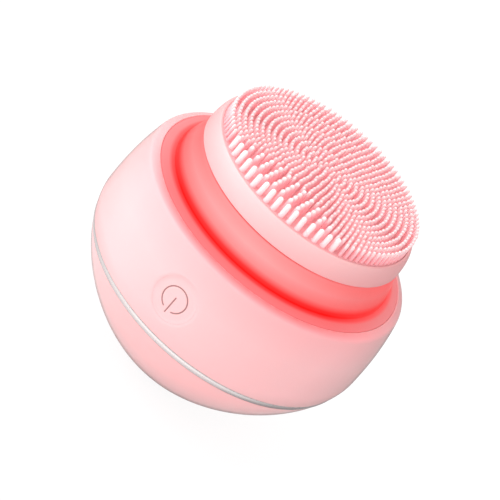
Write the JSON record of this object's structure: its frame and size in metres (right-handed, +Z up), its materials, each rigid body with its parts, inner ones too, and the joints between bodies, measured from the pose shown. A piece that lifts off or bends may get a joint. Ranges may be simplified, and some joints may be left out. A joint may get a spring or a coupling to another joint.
{
  "type": "facial cleansing brush",
  "caption": "Palm-held ball-shaped facial cleansing brush with a pale pink shell, silver ring, lit red neck, power button and a round spinning bristle head.",
  "frame": {"origin": "centre of the flat base", "axes": "+Z up along the brush axis towards the bristles, -Y towards the power button"},
  "size_m": [0.078, 0.078, 0.07],
  "materials": {
    "shell_plastic": "satin soft-touch pale pink",
    "head_plastic": "satin pale pink",
    "silver_trim": "bright silver plating",
    "lit_diffuser": "translucent red, lit from inside",
    "bristle_base": "soft moulded pink",
    "bristle_soft": "soft moulded near-white pink",
    "soft_pad": "matt soft rubber",
    "gold_contact": "gold plated",
    "frame_plastic": "natural moulded",
    "cell_wrap": "shrink-wrapped",
    "seal_rubber": "matt black",
    "black_plastic": "matt black",
    "steel": "turned and plated",
    "circuit_board": "green solder mask",
    "magnet": "sintered",
    "copper": "enamelled copper windings",
    "brass": "machined",
    "gear_plastic": "acetal",
    "led_lens": "clear epoxy",
    "red_wire": "insulated lead"
  },
  "bodies": {
    "handle": {"lower_shell": "shell_plastic", "foot_pad": "soft_pad", "charge_contact_left": "gold_contact", "charge_contact_right": "gold_contact", "battery_cradle": "frame_plastic", "battery_cell": "cell_wrap", "trim_ring": "silver_trim", "case_seal": "seal_rubber", "upper_shell": "shell_plastic", "switch_housing": "black_plastic", "main_board": "circuit_board", "board_screw_left": "steel", "board_screw_right": "steel", "motor_can": "steel", "motor_end_cap": "black_plastic", "motor_magnet": "magnet", "gearbox_plate": "frame_plastic", "gearbox_cover": "frame_plastic", "idler_pin": "steel", "spindle_bush": "brass", "light_ring": "lit_diffuser", "neck": "lit_diffuser", "shaft_seal": "seal_rubber", "led_board": "circuit_board", "battery_lead_red": "red_wire", "battery_lead_black": "black_plastic", "motor_lead_red": "red_wire", "motor_lead_black": "black_plastic", "led_1": "led_lens", "led_2": "led_lens", "led_3": "led_lens", "led_4": "led_lens", "led_5": "led_lens", "led_6": "led_lens", "led_7": "led_lens", "led_8": "led_lens", "bracket_screw_1": "steel", "bracket_screw_2": "steel", "bracket_screw_3": "steel", "cover_screw_1": "steel", "cover_screw_2": "steel", "cover_screw_3": "steel", "cover_screw_4": "steel"},
    "button": {"button_cap": "shell_plastic"},
    "plunger": {"switch_plunger": "steel"},
    "motor_rotor_set": {"motor_shaft": "steel", "motor_rotor": "copper", "motor_pinion": "brass"},
    "idler": {"idler_gear": "gear_plastic"},
    "spindle": {"output_spindle": "steel", "output_gear": "gear_plastic"},
    "brush_head": {"head_ring": "head_plastic", "head_carrier": "frame_plastic", "bristle_pad": "bristle_base", "firm_bristles": "bristle_soft", "fine_bristles": "bristle_soft"}
  },
  "joints": [
    {"name": "head_spin", "type": "hinge", "parent": "handle", "child": "spindle", "pos_m": [0, 0, 0.0485], "axis": [0, 0, 1], "continuous": true},
    {"name": "head_lift", "type": "slide", "parent": "spindle", "child": "brush_head", "axis": [0, 0, 1], "range_m": [0, 0.012]},
    {"name": "idler_spin", "type": "hinge", "parent": "handle", "child": "idler", "pos_m": [0, 0.0144, 0.047], "axis": [0, 0, 1], "continuous": true},
    {"name": "motor_spin", "type": "hinge", "parent": "handle", "child": "motor_rotor_set", "pos_m": [0, 0, 0.035], "axis": [0, 0, 1], "continuous": true},
    {"name": "button_press", "type": "slide", "parent": "handle", "child": "button", "axis": [0, 1, 0], "range_m": [0, 0.0006], "stiffness_N_per_m": 3000},
    {"name": "switch_travel", "type": "slide", "parent": "handle", "child": "plunger", "axis": [0, 1, 0], "range_m": [0, 0.0006]}
  ],
  "couplings": [
    {"joint": "idler_spin", "follows": "head_spin", "ratio": -3},
    {"joint": "motor_spin", "follows": "head_spin", "ratio": 9},
    {"joint": "switch_travel", "follows": "button_press", "ratio": 1}
  ]
}
